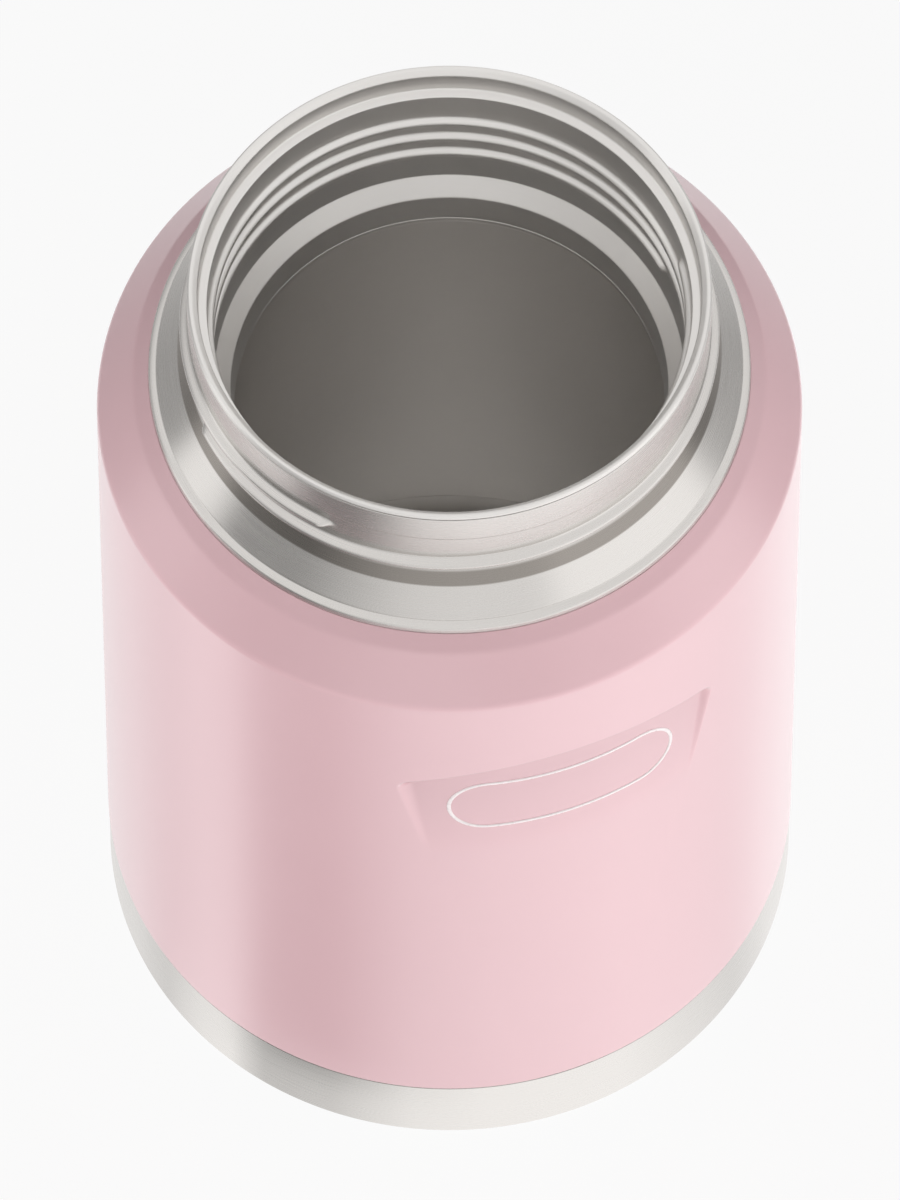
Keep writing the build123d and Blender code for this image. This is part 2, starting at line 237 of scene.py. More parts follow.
class FoodJar(bpy.types.PropertyGroup):
    body: PointerProperty(type=BodySizes, name="Body", description="Painted body")
    badge: PointerProperty(type=BadgeSizes, name="Badge", description="Pressed recess and its ring")
    neck: PointerProperty(type=NeckSizes, name="Neck", description="Bare steel neck")
    mouth: PointerProperty(type=MouthSizes, name="Mouth", description="Inside of the neck")
    vessel: PointerProperty(type=VesselSizes, name="Vessel", description="Inner vessel")
    foot: PointerProperty(type=FootSizes, name="Foot", description="Steel band and bottom")
    colours: PointerProperty(type=JarColours, name="Colours", description="Colours of the finishes")
    studio: PointerProperty(type=StudioSettings, name="Studio", description="Camera, lamps and floor")
    segments: IntProperty(name="Segments", description="Points round each steel ring", default=360, min=48)


# ---------------------------------------------------------------- shader wiring


class Signal:
    """A socket on its way through a material: Python's operators on it add Math nodes."""

    def __init__(self, wiring, socket):
        self.wiring = wiring
        self.socket = socket

    def maths(self, operation, *values):
        return self.wiring.add("ShaderNodeMath", {"operation": operation}, dict(enumerate(values)))

    def __add__(self, other):
        return self.maths("ADD", self, other)

    def __radd__(self, other):
        return self.maths("ADD", other, self)

    def __sub__(self, other):
        return self.maths("SUBTRACT", self, other)

    def __rsub__(self, other):
        return self.maths("SUBTRACT", other, self)

    def __mul__(self, other):
        return self.maths("MULTIPLY", self, other)

    def __rmul__(self, other):
        return self.maths("MULTIPLY", other, self)

    def __truediv__(self, other):
        return self.maths("DIVIDE", self, other)

    def __rtruediv__(self, other):
        return self.maths("DIVIDE", other, self)

    def __pow__(self, other):
        return self.maths("POWER", self, other)

    def larger(self, other):
        return self.maths("MAXIMUM", self, other)


class Wiring:
    """The nodes of one material or world."""

    def __init__(self, owner):
        owner.use_nodes = True
        self.tree = owner.node_tree
        self.tree.nodes.clear()

    def add(self, kind, settings=None, inputs=None, output=0):
        """A node of this type: its settings first, then the values or links of its sockets."""
        node = self.tree.nodes.new(kind)
        for key, value in (settings or {}).items():
            if key == "stops":
                stops = node.color_ramp.elements
                for spot, (place, colour) in enumerate(value):
                    stop = stops[spot] if spot < len(stops) else stops.new(place)
                    stop.position = place
                    stop.color = colour
            else:
                setattr(node, key, value)
        for key, value in (inputs or {}).items():
            if isinstance(value, Signal):
                self.tree.links.new(value.socket, node.inputs[key])
            else:
                node.inputs[key].default_value = value
        return Signal(self, node.outputs[output]) if node.outputs else None

    def where(self):
        """The piece's own coordinates."""
        return self.add("ShaderNodeTexCoord", output="Object")

    def parts(self, vector):
        """A vector's three numbers."""
        return [self.add("ShaderNodeSeparateXYZ", {}, {0: vector}, output=axis) for axis in range(3)]

    def vector(self, x, y, z):
        return self.add("ShaderNodeCombineXYZ", {}, {0: x, 1: y, 2: z})

    def ray(self, kind):
        """1 for a ray of this kind and 0 for any other."""
        return self.add("ShaderNodeLightPath", output=f"Is {kind} Ray")

    def fade(self, value, ends, first, last):
        """The first level up to one end of the value, the last level from the other, and a ramp between."""
        return self.add("ShaderNodeMapRange", {}, {0: value, 1: ends[0], 2: ends[1], 3: first, 4: last})

    def noise(self, where, scale, detail):
        return self.add("ShaderNodeTexNoise", {}, {"Vector": where, "Scale": scale, "Detail": detail})

    def cells(self, where, scale, feature):
        """Distance to the nearest cell point (F1) or cell edge."""
        return self.add("ShaderNodeTexVoronoi", {"feature": feature}, {"Vector": where, "Scale": scale})

    def blend(self, share, first, second):
        """A colour between two others."""
        return self.add("ShaderNodeMix", {"data_type": "RGBA"}, {0: share, 6: first, 7: second}, output=2)

    def bump(self, height, distance, strength=1.0):
        return self.add("ShaderNodeBump", {}, {"Height": height, "Distance": distance, "Strength": strength})

    def finish(self, **sockets):
        """The surface shader and the output."""
        inputs = {key.replace("_", " "): value for key, value in sockets.items()}
        surface = self.add("ShaderNodeBsdfPrincipled", {}, inputs)
        self.add("ShaderNodeOutputMaterial", {}, {"Surface": surface})


def shade(colour):
    """A colour socket's value, with an alpha of 1."""
    return (*colour, 1.0)


def fresh_material(name):
    material = bpy.data.materials.new(name)
    return material, Wiring(material)


def brushed_steel(name, lean, pale, deep, roughness=0.27, dull=None, metallic=1.0):
    """Turned and brushed stainless steel between two tones.

    The brush lines are noise in (cos a, sin a, height + lean * radius), so they run round the axis. Lean is
    -1 on a wall that closes in as it rises and 1 on one that opens. The band given as (low, high) heights is
    darkened in colour as painted shade, for the shadow that falls in a recess or gap. Metallic is under 1 on
    pickled steel, whose oxide scatters some light.
    """
    material, w = fresh_material(name)
    x, y, z = w.parts(w.where())
    radius = (x * x + y * y + 1e-9) ** 0.5
    across = z + radius * lean

    def brushed(around, along, detail):
        """Noise with this many cells to a unit of cos a and sin a, and to a metre of the third number."""
        return w.noise(w.vector(x / radius * around, y / radius * around, across * along), 1.0, detail)

    lines = brushed(5.0, 5200.0, 3.0) * 0.7 + brushed(2.0, 420.0, 2.0) * 0.3
    cloud = w.noise(w.where(), 55.0, 2.0)
    colour = w.blend(lines * 0.6 + cloud * 0.4, shade(deep), shade(pale))
    # a band darkened in colour as painted shade, for the shadow in a recess or gap
    if dull:
        above = w.fade(z, (dull[0] - 0.1 * MM, dull[0] + 0.1 * MM), 0.0, 1.0)
        below = w.fade(z, (dull[1] - 0.3 * MM, dull[1] + 0.3 * MM), 1.0, 0.0)
        dark = [tone * share for tone, share in zip(deep, UNBRUSHED)]
        colour = w.blend(above * below, colour, shade(dark))
    w.finish(
        Base_Color=colour,
        Roughness=lines * 0.14 + cloud * 0.06 + (roughness - 0.10),
        Metallic=metallic,
        Anisotropic=0.6,
        Anisotropic_Rotation=0.25,
        Normal=w.bump(lines, 0.0000035),
    )
    return material


def powder_coat(name, colours):
    """Satin powder coat: a faint mottle, and the fine orange peel of fused powder.

    The attribute "pressed" goes from 0 to 1 with the depth of the badge recess, where the colour is darkened
    as painted shade.
    """
    material, w = fresh_material(name)
    where = w.where()
    peel = w.noise(where, 900.0, 2.0)
    grain = w.noise(where, 4200.0, 1.0)
    cloud = w.noise(where, 45.0, 3.0)
    pressed = w.add("ShaderNodeAttribute", {"attribute_name": "pressed"}, output="Fac")
    colour = w.blend(cloud * 0.75 + grain * 0.25, shade(colours.paint_deep), shade(colours.paint))
    w.finish(
        # the badge recess is darkened in colour as painted shade
        Base_Color=w.blend(pressed * 0.9, colour, shade([c * 0.88 for c in colours.paint_deep])),
        Roughness=0.36 + cloud * 0.06 + grain * 0.04,
        Coat_Weight=0.8,
        Coat_Roughness=0.2,
        Normal=w.bump(peel * 0.7 + grain * 0.3, 0.000007),
    )
    return material


def enamel_coat(name, colours):
    """Pale enamel: glossier than the paint round it, with a slight ripple."""
    material, w = fresh_material(name)
    ripple = w.noise(w.where(), 1500.0, 2.0)
    w.finish(
        Base_Color=w.blend(ripple, shade([c * 0.96 for c in colours.enamel]), shade(colours.enamel)),
        Roughness=0.24 + ripple * 0.08,
        Normal=w.bump(ripple, 0.000004),
    )
    return material


def crumpled_foil(name, colours):
    """Copper foil: bright, with shallow creases and a warmer tone along them."""
    material, w = fresh_material(name)
    where = w.where()
    crease = w.cells(where, 160.0, "DISTANCE_TO_EDGE")
    cloud = w.noise(where, 90.0, 3.0)
    w.finish(
        Base_Color=w.blend(cloud, shade([c * 0.8 for c in colours.copper]), shade(colours.copper)),
        Roughness=0.22 + cloud * 0.2,
        Metallic=1.0,
        Normal=w.bump(crease + cloud * 0.3, 0.00015, 0.6),
    )
    return material


def sintered_metal(name, colours):
    """Pressed metal powder: dark, dull and grainy."""
    material, w = fresh_material(name)
    grain = w.noise(w.where(), 5200.0, 4.0)
    w.finish(
        Base_Color=w.blend(grain, shade([c * 0.6 for c in colours.getter]), shade(colours.getter)),
        Roughness=0.62 + grain * 0.25,
        Metallic=0.8,
        Normal=w.bump(grain, 0.00003),
    )
    return material


def solder_glass(name, colours):
    """Fused solder glass: dark, smooth, with fine bubbles under the surface."""
    material, w = fresh_material(name)
    where = w.where()
    bubble = w.cells(where, 2600.0, "F1")
    cloud = w.noise(where, 700.0, 2.0)
    w.finish(
        Base_Color=w.blend(bubble, shade([c * 1.8 for c in colours.glass]), shade(colours.glass)),
        Roughness=0.06 + cloud * 0.08,
        Coat_Weight=0.4,
        Normal=w.bump(cloud, 0.00001),
    )
    return material


# ---------------------------------------------------------------- shapes


def unit(steps):
    """Each step divided by its length."""
    return steps / np.linalg.norm(steps, axis=-1, keepdims=True)


def other_side(path, wall):
    """The far side of a sheet: the path moved by the wall to its left, each corner along its mitre.

    With unit normals m and n of the two legs, a corner moves by (m + n) * wall / (1 + m . n).
    """
    legs = unit(np.diff(path, axis=0))
    normals = np.stack([-legs[:, 1], legs[:, 0]], axis=1)
    before = np.vstack([normals[:1], normals])
    after = np.vstack([normals, normals[-1:]])
    share = wall / (1.0 + (before * after).sum(axis=1, keepdims=True))
    return path + (before + after) * share


def run_between(start, end, spacing):
    """Points strictly inside a straight run, with one close to each end so that the shading stays flat."""
    span = float(np.linalg.norm(end - start))
    count = max(1, math.ceil(span / spacing))
    shares = np.arange(1, count) / count
    if span > LONG_RUN:
        close = END_GAP / span
        shares = np.unique(np.concatenate([shares, [close, 1.0 - close]]))
    return start + (end - start) * shares[:, None]


def corner_arc(before, corner, after, radius):
    """The arc that rounds a corner, or the corner itself where there is nothing to round.

    An arc of radius R touches both legs R * tan(turn / 2) from its corner, or nearer where a leg is short.
    """
    into, out = unit(corner - before), unit(after - corner)
    turn = math.atan2(into[0] * out[1] - into[1] * out[0], float(into @ out))
    shorter = min(np.linalg.norm(corner - before), np.linalg.norm(after - corner))
    reach = min(radius * math.tan(abs(turn) / 2), MOST_OF_LEG * shorter)
    if abs(turn) < 1e-4 or reach < 1e-7:
        return corner[None, :]
    radius = reach / math.tan(abs(turn) / 2)
    normal = np.array([-into[1], into[0]]) * math.copysign(1.0, turn)
    middle = corner - into * reach + normal * radius
    angles = np.linspace(0.0, abs(turn), max(3, math.ceil(abs(turn) / ARC_STEP)) + 1)[:, None]
    return middle - normal * radius * np.cos(angles) + into * radius * np.sin(angles)


def rounded_outline(corners, radii, spacings, closed=True):
    """An outline with its corners turned into arcs, and the corner that each point comes from.

    Spacings are for the leg that follows each corner.
    """
    count = len(corners)
    arcs = []
    for spot, corner in enumerate(corners):
        at_end = not closed and spot in (0, count - 1)
        radius = 0.0 if at_end else radii[spot]
        arcs.append(corner_arc(corners[spot - 1], corner, corners[(spot + 1) % count], radius))
    stretches = []
    labels = []
    for spot, arc in enumerate(arcs):
        stretches.append(arc)
        labels.append(np.full(len(arc), spot))
        if closed or spot < count - 1:
            run = run_between(arc[-1], arcs[(spot + 1) % count][0], spacings[spot])
            stretches.append(run)
            labels.append(np.full(len(run), spot))
    return np.vstack(stretches), np.concatenate(labels)


def sheet_outline(skin, wall, radii, spacings, first=None, last=None):
    """The closed outline of a sheet whose metal lies on the left of its skin, and which points are skin.

    The far side's arcs share their centres with the skin's, so a radius grows or shrinks by the wall. First
    and last are the far side's ends where they aren't square to the skin.
    """
    skin = np.array(skin)
    far = other_side(skin, wall)
    if first is not None:
        far[0] = skin[0] + first
    if last is not None:
        far[-1] = skin[-1] + last
    legs = unit(np.diff(skin, axis=0))
    bends = legs[:-1, 0] * legs[1:, 1] - legs[:-1, 1] * legs[1:, 0]
    far_radii = [max(r - math.copysign(wall, b), SOFT_EDGE) if r else 0.0 for r, b in zip(radii, bends)]
    edge = min(SOFT_EDGE, wall * MOST_OF_WALL)
    all_radii = [edge, *radii, edge, edge, *far_radii[::-1], edge]
    all_spacings = [*spacings, UNDIVIDED, *[FAR_SPACING] * (len(skin) - 1), UNDIVIDED]
    outline, labels = rounded_outline(np.vstack([skin, far[::-1]]), all_radii, all_spacings)
    on_skin = labels < len(skin)
    area = np.sum(outline[:, 0] * np.roll(outline[:, 1], -1) - np.roll(outline[:, 0], -1) * outline[:, 1])
    return (outline, on_skin) if area > 0 else (outline[::-1], on_skin[::-1])


def round_angles(count):
    """One turn in this many equal steps from +X, the last one left off."""
    return np.arange(count) * (2 * math.pi / count)


def carried_round(radius, height, angles):
    """The points (r cos a, r sin a, z) of a grid with a row for each outline point."""
    grids = np.broadcast_arrays(radius * np.cos(angles), radius * np.sin(angles), height)
    return np.stack(grids, axis=-1).reshape(-1, 3)


def grid_faces(rows, columns, closed=True, flipped=False):
    """Four-sided faces of a grid whose rows are rings. If it is closed, the last row joins the first."""
    row = np.arange(rows if closed else rows - 1)[:, None]
    column = np.arange(columns)[None, :]
    on = (column + 1) % columns
    low, high = row * columns, (row + 1) % rows * columns
    corners = [low + column, low + on, high + on, high + column]
    if flipped:
        corners = [low + column, high + column, high + on, low + on]
    return np.stack(corners, axis=-1).reshape(-1, 4).tolist()


def fan_faces(pole, first, count, flipped=False):
    """Triangles from a pole to the ring of this many points that starts at the first."""
    around = np.arange(count)
    rim = [first + around, first + (around + 1) % count]
    return np.stack([np.full(count, pole), *(rim[::-1] if flipped else rim)], axis=-1).tolist()


def piece_object(name, points, faces, material, slot=None):
    """A new object from its points and faces. With a slot it is a piece of the jar and rides on its body."""
    mesh = bpy.data.meshes.new(name)
    mesh.from_pydata(points.tolist(), [], faces)
    mesh.shade_smooth()
    mesh.materials.append(material)
    mesh.validate()
    piece = bpy.data.objects.new(name, mesh)
    bpy.context.scene.collection.objects.link(piece)
    if slot:
        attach(piece, "root")
    return piece


def turned(name, outline, angles, material, slot, on_skin=None, relief=None):
    """A closed ring: the outline carried round the axis.

    Relief takes the grids of radius, angle and height, and gives the skin's radius instead.
    """
    radius, height, angle = np.broadcast_arrays(outline[:, :1], outline[:, 1:], angles)
    if relief is not None:
        radius = np.where(on_skin[:, None], relief(radius, angle, height), radius)
    points = carried_round(radius, height, angle)
    return piece_object(name, points, grid_faces(*radius.shape), material, slot)


def dished(name, path, angles, material, slot):
    """A solid of revolution whose outline starts and ends on the axis; both poles are single points."""
    ring = path[1:-1]
    points = carried_round(ring[:, :1], ring[:, 1:], angles)
    poles = [[0.0, 0.0, path[0, 1]], [0.0, 0.0, path[-1, 1]]]
    start, end, columns = len(points), len(points) + 1, len(angles)
    faces = grid_faces(len(ring), columns, closed=False)
    faces += fan_faces(start, 0, columns, flipped=True) + fan_faces(end, start - columns, columns)
    return piece_object(name, np.vstack([points, poles]), faces, material, slot)


def thread_relief(angle, height, sizes, at_radius):
    """How far a rolled thread stands off its wall.

    The thread's middle falls by the pitch over each turn from its upper end. With q the distance from the
    middle line, L half the root's width and C half the crest's, the height is
    rise * (1 - cos(pi * (L - q) / (L - C))) / 2. Over the last run-out of its length, q also takes in how
    far the end is gone by, on the scale of L, so the ends taper off round.
    """
    half = sizes.root / 2
    flat = sizes.crest / 2
    run_out = RUN_OUT * sizes.root
    best = np.zeros_like(height)
    first = np.mod(sizes.thread_angle - angle, 2 * math.pi) / (2 * math.pi)
    for turn in range(math.ceil(sizes.turns) + 1):
        along = first + turn
        middle = sizes.thread_top - sizes.pitch * along
        to_top = along * 2 * math.pi * at_radius
        to_bottom = (sizes.turns - along) * 2 * math.pi * at_radius
        past = np.maximum(np.maximum(run_out - to_top, run_out - to_bottom), 0.0) * half / run_out
        off = np.hypot(height - middle, past)
        share = np.clip((half - off) / (half - flat), 0.0, 1.0)
        best = np.maximum(best, sizes.rise * 0.5 * (1.0 - np.cos(math.pi * share)))
    return best


def smaller(first, second, width):
    """The smaller of two numbers, with the change-over rounded over this width."""
    share = np.clip(0.5 + 0.5 * (second - first) / width, 0.0, 1.0)
    return second * (1 - share) + first * share - width * share * (1 - share)


def upper_edge(across, badge, radius):
    """Height of the recess's upper edge, which lies in a plane: top - arch * (R - sqrt(R^2 - across^2))."""
    return badge.top - badge.arch * (radius - np.sqrt(np.maximum(radius**2 - across**2, 0.0)))


def badge_depth(across, height, badge, radius):
    """Depth of the pressed badge recess.

    Its floor goes from the full depth at the upper edge to nothing at the lower one. Near an edge the depth
    is the distance from the edge times the slope of that side, and the smaller of the two is taken, rounded.
    In a corner the distance is corner - hypot(corner - top, corner - side).
    """
    bottom = badge.top - badge.height
    edge = upper_edge(across, badge, radius)
    corners = upper_edge(badge.top_width / 2, badge, radius)
    widening = (badge.top_width - badge.bottom_width) / (corners - bottom)
    half = (badge.bottom_width + widening * (height - bottom)) / 2
    from_top = np.maximum(badge.corner - (edge - height), 0.0)
    from_side = np.maximum(badge.corner - (half - np.abs(across)), 0.0)
    inside = badge.corner - np.hypot(from_top, from_side)
    steep, side = RECESS_SLOPES["top"], np.where(across < 0, RECESS_SLOPES["left"], RECESS_SLOPES["right"])
    slope = (steep * from_top**2 + side * from_side**2) / (from_top**2 + from_side**2 + 1e-12) + 1e-3
    floor = badge.depth * np.clip((height - bottom) / (edge - bottom), 0.0, 1.0)
    wall = np.where(from_top + from_side > 0, inside * slope, badge.depth * 3)
    depth = smaller(floor, wall, RECESS_FLOOR_ROUND)
    return np.maximum(-smaller(-depth, 0.0 * depth, RECESS_EDGE_ROUND), 0.0)


def facing(badge):
    """The badge's outward direction and the one across it."""
    out = np.array([math.sin(badge.azimuth), -math.cos(badge.azimuth), 0.0])
    return out, np.array([math.cos(badge.azimuth), math.sin(badge.azimuth), 0.0])


# ---------------------------------------------------------------- stage and pieces


class FOODJAR_OT_stage(bpy.types.Operator):
    """Camera, world light, mirrored panels, softboxes and a pale floor"""

    bl_idname = "foodjar.stage"
    bl_label = "Stage"

    def camera(self, studio):
        """In front of the jar and above it, by (-cos, sin) of the pitch times the distance."""
        back = Vector((0.0, -math.cos(studio.pitch), math.sin(studio.pitch)))
        data = bpy.data.cameras.new("jar_camera")
        data.sensor_fit = "VERTICAL"
        data.sensor_height = 36.0
        data.lens = studio.lens
        data.clip_start = 0.1
        data.clip_end = 50.0
        camera = bpy.data.objects.new("jar_camera", data)
        camera.location = Vector((CAMERA_ASIDE, 0.0, studio.aim)) + back * studio.distance
        camera.rotation_euler = (math.pi / 2 - studio.pitch, 0.0, 0.0)
        bpy.context.scene.collection.objects.link(camera)
        bpy.context.scene.camera = camera

    def softbox(self, name, spot, size, brightness):
        """An area lamp aimed at the jar. Its watts are brightness * pi * area."""
        data = bpy.data.lights.new(name, "AREA")
        data.shape = "RECTANGLE"
        data.size, data.size_y = size
        data.energy = brightness * math.pi * size[0] * size[1]
        lamp = bpy.data.objects.new(name, data)
        lamp.visible_glossy = False
        lamp.location = spot
        lamp.rotation_euler = (LAMPS_AIM - Vector(spot)).to_track_quat("-Z", "Y").to_euler()
        bpy.context.scene.collection.objects.link(lamp)

    def panels(self, w, x, y, levels, reach=None):
        """Brightness of the panels round the jar, as reflections show them.

        It is a ramp over the azimuth atan2(x, -y), which is 0 at the front and grows towards +X. A spot on
        the floor, at this reach from the axis, takes the azimuth / (1 - radius / (2 * reach)) instead. The
        body's wall mirrors it that way, so the panels' edges stand upright there.
        """
        azimuth = w.add("ShaderNodeMath", {"operation": "ARCTAN2"}, {0: x, 1: y * -1.0})
        if reach is not None:
            azimuth = azimuth / (1.0 - BODY_TOP[0] / (reach * 2.0).larger(BODY_TOP[0] * 2.0))
        stops = [((degrees + 180.0) / 360.0, shade([level / BRIGHTEST] * 3)) for degrees, level in levels]
        ramp = w.add("ShaderNodeValToRGB", {"stops": stops}, {0: azimuth / (2 * math.pi) + 0.5})
        return ramp * BRIGHTEST

    def world(self, studio):
        """White to the camera, the panels in reflections, and the ambient level for the rest."""
        world = bpy.data.worlds.new("studio")
        bpy.context.scene.world = world
        w = Wiring(world)
        x, y, z = w.parts(w.add("ShaderNodeTexCoord", output="Generated"))
        white = w.ray("Camera").larger(w.ray("Transmission"))
        glossy = w.ray("Glossy")
        around = self.panels(w, x, y, SKY_PANELS)
        mirrored = around + (1.0 - around) * w.fade(z, PANELS_FADE, 0.0, 1.0)
        lamps = studio.ambient + w.fade(z, HORIZON_FADE, 1.0, 0.0) * (studio.horizon - studio.ambient)
        level = white + (1.0 - white) * (glossy * mirrored + (1.0 - glossy) * lamps)
        light = w.add("ShaderNodeBackground", {}, {"Color": WHITE, "Strength": level})
        w.add("ShaderNodeOutputWorld", {}, {"Surface": light})

    def floor_material(self, studio):
        """White where it is only looked at, with the jar's shadow kept, and clear from below.

        Reflections show the panels' brightness on it, and a glow before the foot.
        """
        material, w = fresh_material("stage_floor")
        x, y, _ = w.parts(w.where())
        white = w.ray("Camera").larger(w.ray("Transmission"))
        reach = (x * x + y * y) ** 0.5
        front = (y * -1.0 / reach).larger(0.0)
        near = self.panels(w, x, y, NEAR_PANELS, reach)
        near = near + (BRIGHTEST - near) * w.fade(reach, GLOW_FADE, GLOW, 0.0) * front * front
        far = w.fade(reach, NEAR_FADE, 0.0, 1.0)
        mirrored = near + (self.panels(w, x, y, WIDE_PANELS) - near) * far
        paper = w.add("ShaderNodeBsdfDiffuse", {}, {"Color": shade([studio.floor] * 3)})
        level = white + (1.0 - white) * mirrored
        bright = w.add("ShaderNodeEmission", {}, {"Color": WHITE, "Strength": level})
        lit = (white * (1.0 - studio.paper)).larger(w.ray("Glossy"))
        top = w.add("ShaderNodeMixShader", {}, {0: lit, 1: paper, 2: bright})
        under = w.add("ShaderNodeNewGeometry", output="Backfacing")
        clear = w.add("ShaderNodeBsdfTransparent")
        surface = w.add("ShaderNodeMixShader", {}, {0: under, 1: top, 2: clear})
        w.add("ShaderNodeOutputMaterial", {}, {"Surface": surface})
        return material

    def floor(self, studio):
        """A wide disc just under the foot: rings of points round a middle one."""
        rings = np.array(FLOOR_RINGS)[:, None]
        points = carried_round(rings, -FLOOR_DOWN, round_angles(FLOOR_SIDES))
        faces = grid_faces(len(rings), FLOOR_SIDES, closed=False, flipped=True)
        faces += fan_faces(len(points), 0, FLOOR_SIDES)
        points = np.vstack([points, [[0.0, 0.0, -FLOOR_DOWN]]])
        piece_object("stage_floor", points, faces, self.floor_material(studio))

    def execute(self, context):
        studio = context.scene.food_jar.studio
        self.camera(studio)
        self.world(studio)
        self.floor(studio)
        self.softbox("softbox_front", (-0.15, -1.15, 0.3), (0.7, 0.7), studio.front)
        self.softbox("softbox_right", (1.08, -0.29, 0.11), (0.8, 0.3), studio.right)
        self.softbox("softbox_left", (-1.1, -0.2, 0.17), (0.8, 0.3), studio.left)
        return {"FINISHED"}


class FOODJAR_OT_body(bpy.types.Operator):
    """Painted body tube with its shoulder and pressed badge recess"""

    bl_idname = "foodjar.body"
    bl_label = "Painted body"

    def execute(self, context):
        jar = context.scene.food_jar
        body, badge = jar.body, jar.badge
        low, high = badge.top - badge.height - 1 * MM, badge.top + 1 * MM
        corners = upper_edge(badge.top_width / 2, badge, body.radius)
        skin = [
            (body.radius, body.bottom),
            (body.radius, low),  # closer rows from here up
            (body.radius, corners - 3 * MM),  # and the closest along the recess's upper edge
            (body.radius, high),
            (body.radius, body.crease),
            (body.facet_radius, body.facet_height),
            (body.lip_radius, body.lip_height),
        ]
        radii = [0.0, 0.0, 0.0, 1.9 * MM, 4.0 * MM]
        spacings = [5 * MM, 0.6 * MM, 0.12 * MM, 5 * MM, 1 * MM, 0.4 * MM]
        outline, on_skin = sheet_outline(skin, body.wall, radii, spacings)
        both_sides = np.ones_like(on_skin)  # the recess moves the whole sheet
        half = math.ceil(math.degrees(math.asin(badge.top_width / 2 / body.radius))) + 1.0
        middle = math.degrees(badge.azimuth) - 90.0
        fine = np.arange(-half, half, FINE_TURN)
        angles = np.radians(middle + np.concatenate([fine, np.arange(half, 360.0 - half, COARSE_TURN)]))

        def pressed(radius, angle, height):
            """The sheet moves in by the recess's depth, across being R * sin(angle - middle)."""
            across = body.radius * np.sin(angle - math.radians(middle))
            near = np.cos(angle - math.radians(middle)) > 0
            depth = badge_depth(across, height, badge, body.radius)
            return radius - np.where(near & (height < high), depth, 0.0)

        material = powder_coat("satin_pink_powder_coat", jar.colours)
        piece = turned("painted_body", outline, angles, material, "paint", both_sides, pressed)
        # the recess's depth as a share, which the paint reads to darken the recess as painted shade
        places = np.empty(len(piece.data.vertices) * 3, dtype=np.float32)
        piece.data.vertices.foreach_get("co", places)
        places = places.reshape(-1, 3)
        around = np.arctan2(places[:, 1], places[:, 0])
        depth = body.radius - pressed(body.radius, around, places[:, 2])
        share = piece.data.attributes.new("pressed", "FLOAT", "POINT")
        share.data.foreach_set("value", (depth / badge.depth).astype(np.float32))
        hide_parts("body_shell")
        return {"FINISHED"}


class FOODJAR_OT_badge_ring(bpy.types.Operator):
    """Plain enamel ring lying in the badge recess"""

    bl_idname = "foodjar.badge_ring"
    bl_label = "Badge ring"

    def execute(self, context):
        """A stadium: two straight runs and two half circles, with a half-round section swept along it."""
        jar = context.scene.food_jar
        body, badge = jar.body, jar.badge
        bend = (badge.ring_height - badge.ring_line) / 2
        straight = (badge.ring_width - badge.ring_line) / 2 - bend
        arc = math.pi * bend
        total = 2 * arc + 4 * straight
        way = np.linspace(0.0, total, RING_STEPS, endpoint=False)
        right = np.clip((way - straight) / bend, 0.0, math.pi)
        left = np.clip((way - 3 * straight - arc) / bend, 0.0, math.pi)
        turn = right + left
        run = np.where(way < straight, way, np.where(way < straight + arc, straight, 0.0))
        back = np.clip(way - straight - arc, 0.0, 2 * straight)
        forth = np.clip(way - 3 * straight - 2 * arc, 0.0, straight)
        flat = np.where(way < straight + arc, run, straight - back + forth)
        across = flat + bend * np.sin(turn)
        up = -bend * np.cos(turn)
        out, sideways = facing(badge)

        def on_floor(u, v):
            """The recess's floor u across and v up: R - depth from the axis, at the angle arcsin(u / R)."""
            height = badge.ring_middle + v
            surface = body.radius - badge_depth(u, height, badge, body.radius)
            lean = np.arcsin(u / body.radius)
            points = surface[:, None] * (np.cos(lean)[:, None] * out + np.sin(lean)[:, None] * sideways)
            return points + height[:, None] * np.array([0.0, 0.0, 1.0])

        path = on_floor(across, up)
        ahead = unit(np.roll(path, -1, axis=0) - np.roll(path, 1, axis=0))
        lift = unit(path * np.array([1.0, 1.0, 0.0]))
        side = unit(np.cross(ahead, lift))
        section = round_angles(RING_SIDES)
        width = side[:, None, :] * (badge.ring_line / 2 * np.cos(section))[None, :, None]
        height = lift[:, None, :] * (RING_PROUD * np.sin(section))[None, :, None]
        points = (path[:, None, :] + width + height).reshape(-1, 3)
        faces = grid_faces(RING_STEPS, RING_SIDES, flipped=True)
        piece_object("badge_ring", points, faces, enamel_coat("pale_enamel", jar.colours), "paint")
        return {"FINISHED"}


